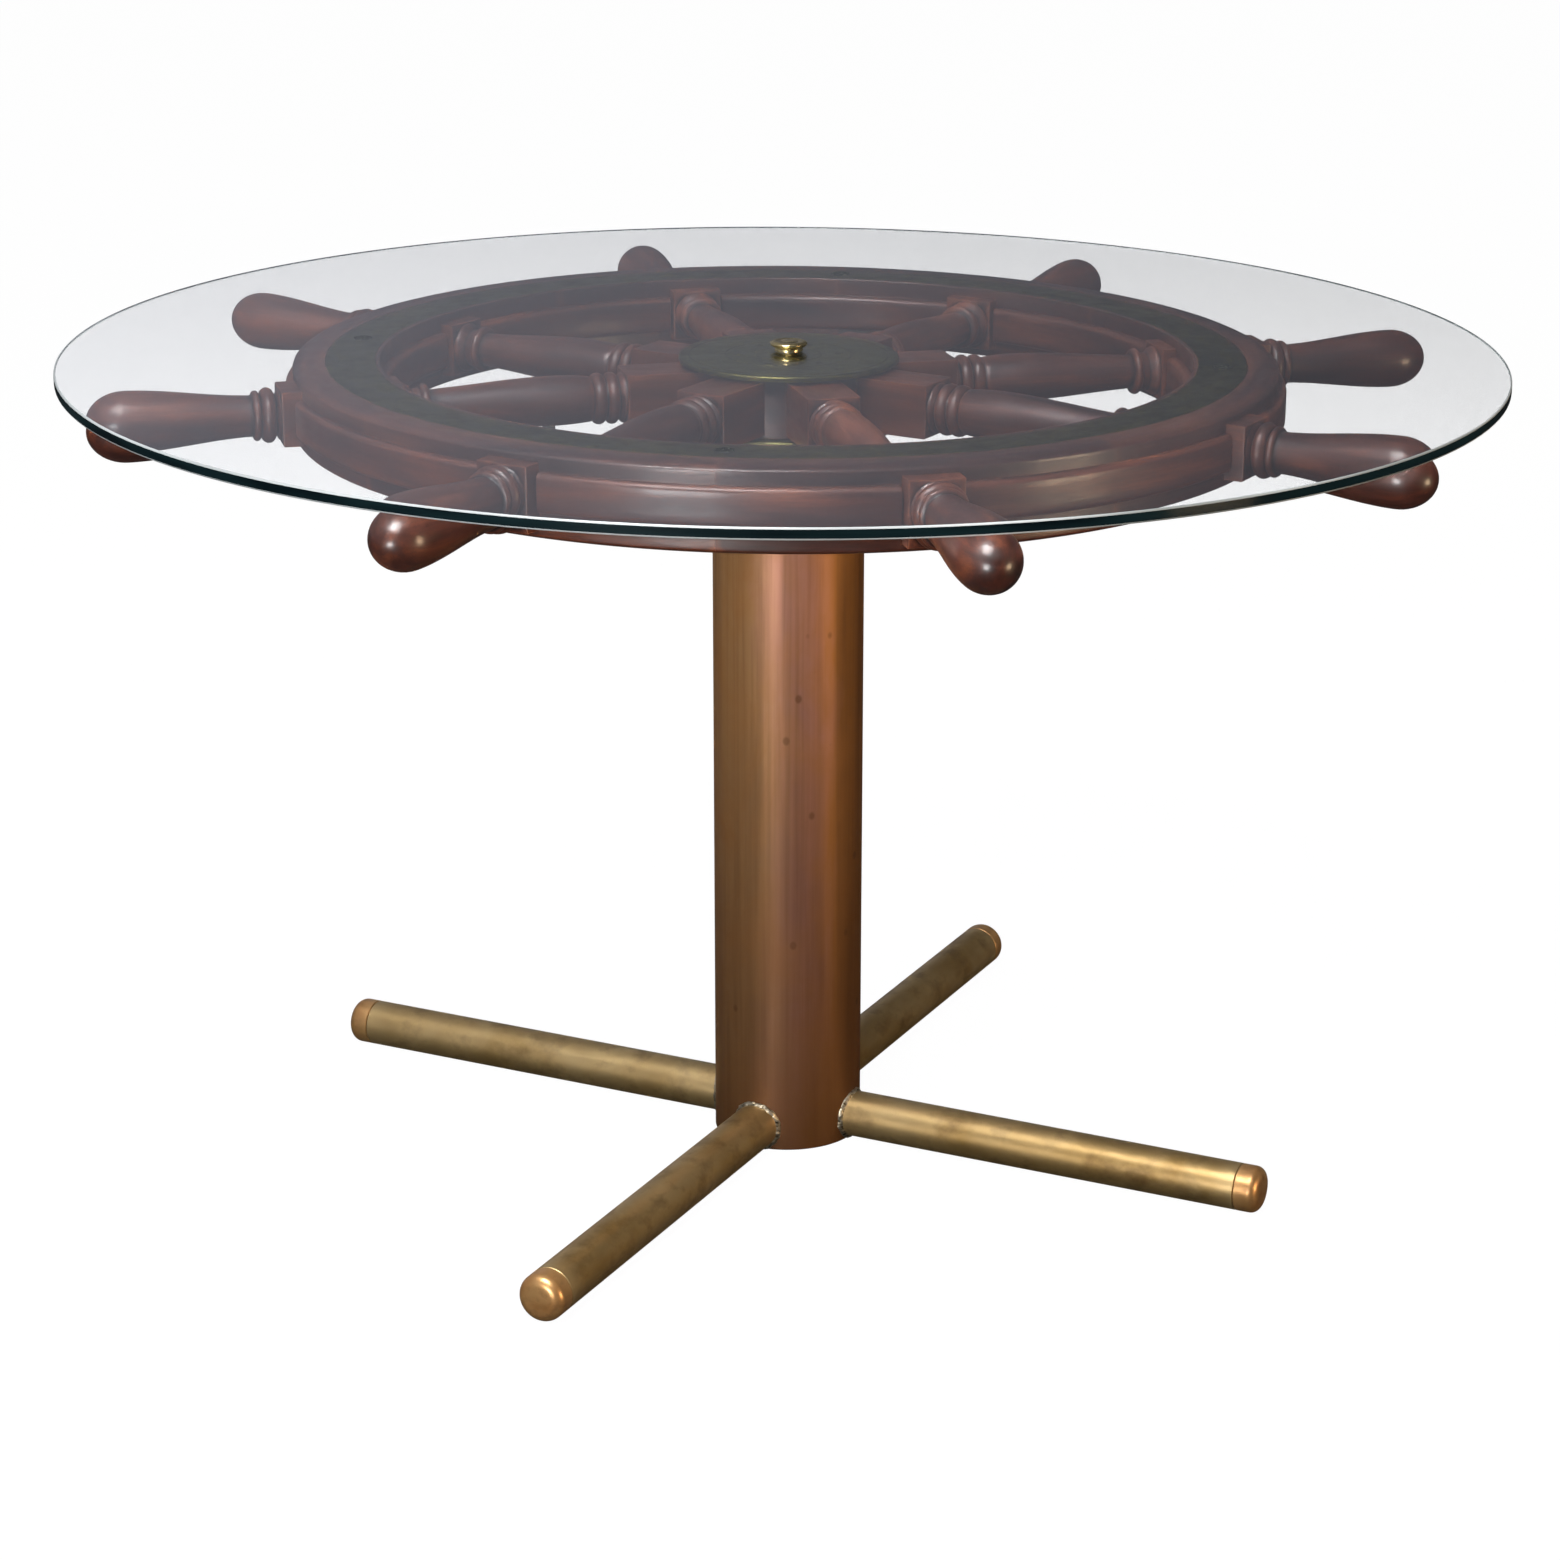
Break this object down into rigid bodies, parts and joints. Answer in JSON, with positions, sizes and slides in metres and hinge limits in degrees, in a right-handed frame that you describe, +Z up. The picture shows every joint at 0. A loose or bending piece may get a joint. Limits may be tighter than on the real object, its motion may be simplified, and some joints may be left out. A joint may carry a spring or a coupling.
{
  "type": "ship wheel pedestal table",
  "caption": "Round glass table top on a wooden ship's steering wheel with brass inlay and turned handles, on a tube column with crossed tube legs.",
  "frame": {"origin": "on the floor, on the axis of the column", "axes": "+Z up along the column and the wheel's axis; +X to the right and +Y to the back as the table is usually seen"},
  "size_m": [1.3, 1.3, 0.7685],
  "materials": {
    "glass": "polished clear plate glass",
    "clear_pad": "clear soft pad",
    "mahogany": "varnished mahogany, worn satin gloss",
    "dark_mahogany": "darker varnished mahogany",
    "old_brass": "aged brass, dull satin",
    "bright_brass": "handled brass, semi-bright",
    "bronze_tube": "lacquered bronze tube with streaked patina",
    "brass_tube": "aged brass tube, satin",
    "copper_cap": "worn copper-brown cap",
    "braze": "rough braze",
    "steel": "plain steel"
  },
  "bodies": {
    "pedestal": {"column_tube": "bronze_tube", "column_head_plate": "steel", "column_foot_plate": "steel", "spindle": "steel", "spindle_lock_nut": "steel", "thrust_washer": "bright_brass", "spindle_washer": "steel", "spindle_nut": "steel", "leg_1": "brass_tube", "leg_2": "brass_tube", "leg_3": "brass_tube", "leg_4": "brass_tube", "leg_cap_1": "copper_cap", "leg_cap_2": "copper_cap", "leg_cap_3": "copper_cap", "leg_cap_4": "copper_cap", "braze_bead_1": "braze", "braze_bead_2": "braze", "braze_bead_3": "braze", "braze_bead_4": "braze"},
    "wheel": {"facing_top": "dark_mahogany", "facing_bottom": "dark_mahogany", "brass_ring": "old_brass", "felloe_1": "mahogany", "felloe_2": "mahogany", "felloe_3": "mahogany", "felloe_4": "mahogany", "felloe_5": "mahogany", "felloe_6": "mahogany", "felloe_7": "mahogany", "felloe_8": "mahogany", "spoke_1": "mahogany", "spoke_2": "mahogany", "spoke_3": "mahogany", "spoke_4": "mahogany", "spoke_5": "mahogany", "spoke_6": "mahogany", "spoke_7": "mahogany", "spoke_8": "mahogany", "glass_pad_1": "clear_pad", "glass_pad_2": "clear_pad", "glass_pad_3": "clear_pad", "glass_pad_4": "clear_pad", "nave": "dark_mahogany", "hub_plate_top": "old_brass", "hub_plate_bottom": "old_brass", "hub_bush": "bright_brass", "hub_screw_1": "bright_brass", "hub_screw_2": "bright_brass", "hub_screw_3": "bright_brass", "hub_screw_4": "bright_brass", "hub_screw_5": "bright_brass", "hub_screw_6": "bright_brass"},
    "tabletop": {"glass_top": "glass", "centre_bolt": "bright_brass"}
  },
  "joints": [
    {"name": "wheel_turn", "type": "hinge", "parent": "pedestal", "child": "wheel", "pos_m": [0, 0, 0.716], "axis": [0, 0, 1], "continuous": true},
    {"name": "glass_lift", "type": "slide", "parent": "wheel", "child": "tabletop", "axis": [0, 0, 1], "range_m": [0, 0.15]}
  ]
}
